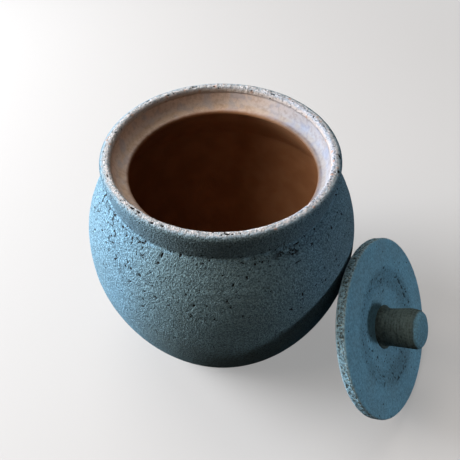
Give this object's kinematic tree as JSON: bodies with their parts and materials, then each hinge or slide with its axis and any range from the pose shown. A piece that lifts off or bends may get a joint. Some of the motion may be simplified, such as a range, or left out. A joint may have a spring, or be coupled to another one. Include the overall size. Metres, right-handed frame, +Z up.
{
  "type": "salt jar",
  "caption": "Round-bellied stoneware salt jar with a sunk gallery in its rim and a dished, knobbed lid that is shown taken off and leaning against its side.",
  "frame": {"origin": "centre of the jar's flat foot, on the surface that it stands on", "axes": "+Z up along the jar's own axis, +X from the jar towards the leaning lid, +Y to the left of that"},
  "size_m": [0.138, 0.1004, 0.0888],
  "materials": {
    "jar_clay": "matte sandy stoneware outside, satin brown inside",
    "lid_clay": "matte stoneware",
    "knob_clay": "matte stoneware"
  },
  "bodies": {
    "jar": {"jar_body": "jar_clay"},
    "lid": {"lid_plate": "lid_clay", "lid_knob": "knob_clay"}
  },
  "joints": [
    {"name": "lid_lift", "type": "slide", "parent": "jar", "child": "lid", "axis": [0, 0, 1], "range_m": [0, 0.1]}
  ]
}
